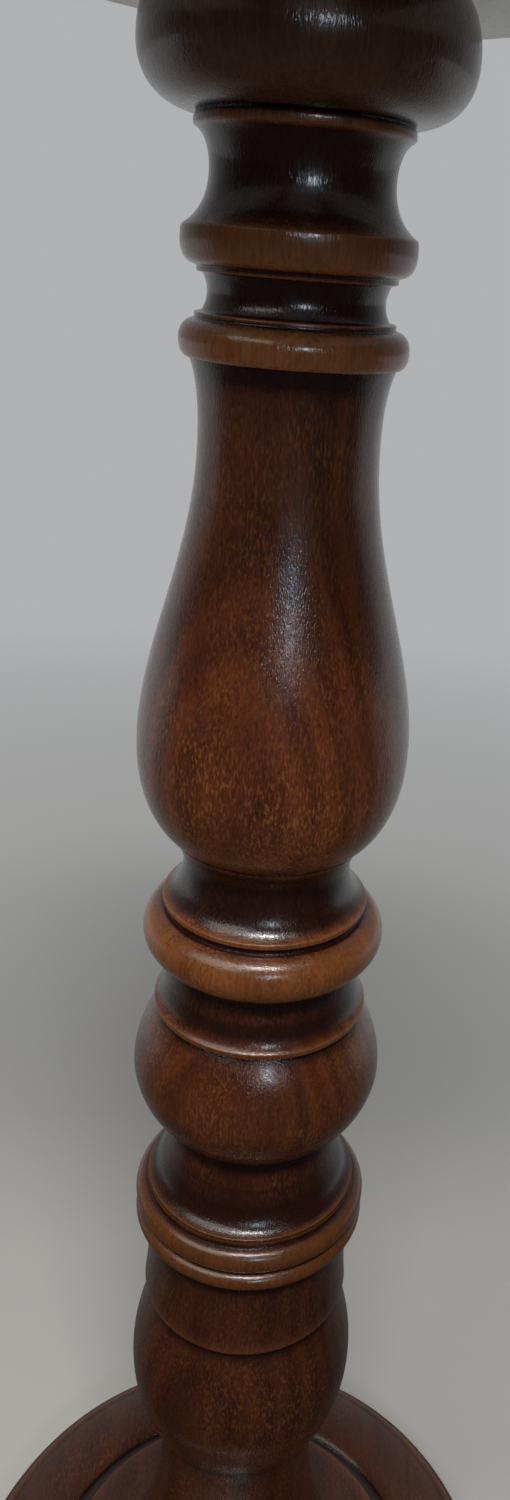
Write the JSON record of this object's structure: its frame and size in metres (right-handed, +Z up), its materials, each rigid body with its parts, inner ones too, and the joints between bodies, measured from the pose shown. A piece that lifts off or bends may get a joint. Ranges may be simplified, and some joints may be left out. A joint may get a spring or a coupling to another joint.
{
  "type": "tilt top table",
  "caption": "Turned hardwood pedestal on a round base plate, with an octagonal stone top that tips up on pivots and is locked flat by a sliding bolt.",
  "frame": {"origin": "on the floor, at the centre of the round base plate", "axes": "+Z up along the pedestal, +Y towards the top's catch, -Y towards the edge that drops as the top tips up, +X along the tilt axis"},
  "size_m": [0.342, 0.342, 0.76],
  "materials": {
    "column_wood": "satin-gloss varnished dark walnut-toned turned hardwood",
    "capital_wood": "satin-gloss varnished, near-black brown turned hardwood",
    "base_wood": "satin varnished dark brown hardwood",
    "stone": "honed light grey stone with faint darker streaks",
    "brass": "lightly aged",
    "steel": "plain bright steel"
  },
  "bodies": {
    "pedestal": {"base_plate": "base_wood", "column_foot": "column_wood", "lower_bulb": "column_wood", "lower_collar": "column_wood", "middle_ball": "column_wood", "middle_collar": "column_wood", "vase": "column_wood", "upper_collar": "column_wood", "capital_bulb": "capital_wood", "tie_rod": "steel", "tie_rod_lower_washer": "steel", "tie_rod_lower_nut": "steel", "tie_rod_upper_washer": "steel", "tie_rod_upper_nut": "steel", "tilt_block": "base_wood", "block_dowel_left": "column_wood", "block_dowel_right": "column_wood", "strike_plate": "brass", "strike_screw_left": "brass", "strike_screw_right": "brass"},
    "top": {"stone_top": "stone", "threaded_insert_1": "brass", "threaded_insert_2": "brass", "threaded_insert_3": "brass", "threaded_insert_4": "brass", "threaded_insert_5": "brass", "threaded_insert_6": "brass", "threaded_insert_7": "brass", "threaded_insert_8": "brass", "bearer_left": "base_wood", "bearer_left_screw_1": "steel", "bearer_left_screw_2": "steel", "bearer_left_screw_3": "steel", "pivot_pin_left": "steel", "bearer_right": "base_wood", "bearer_right_screw_1": "steel", "bearer_right_screw_2": "steel", "bearer_right_screw_3": "steel", "pivot_pin_right": "steel", "catch_case": "brass", "catch_plate": "brass", "catch_screw_left": "steel", "catch_screw_right": "steel"},
    "bolt": {"catch_bolt": "brass", "catch_pull": "brass"}
  },
  "joints": [
    {"name": "top_tilt", "type": "hinge", "parent": "pedestal", "child": "top", "pos_m": [0, -0.052, 0.73325], "axis": [1, 0, 0], "range_deg": [0, 90]},
    {"name": "bolt_slide", "type": "slide", "parent": "top", "child": "bolt", "axis": [0, 1, 0], "range_m": [-0.0105, 0]}
  ]
}
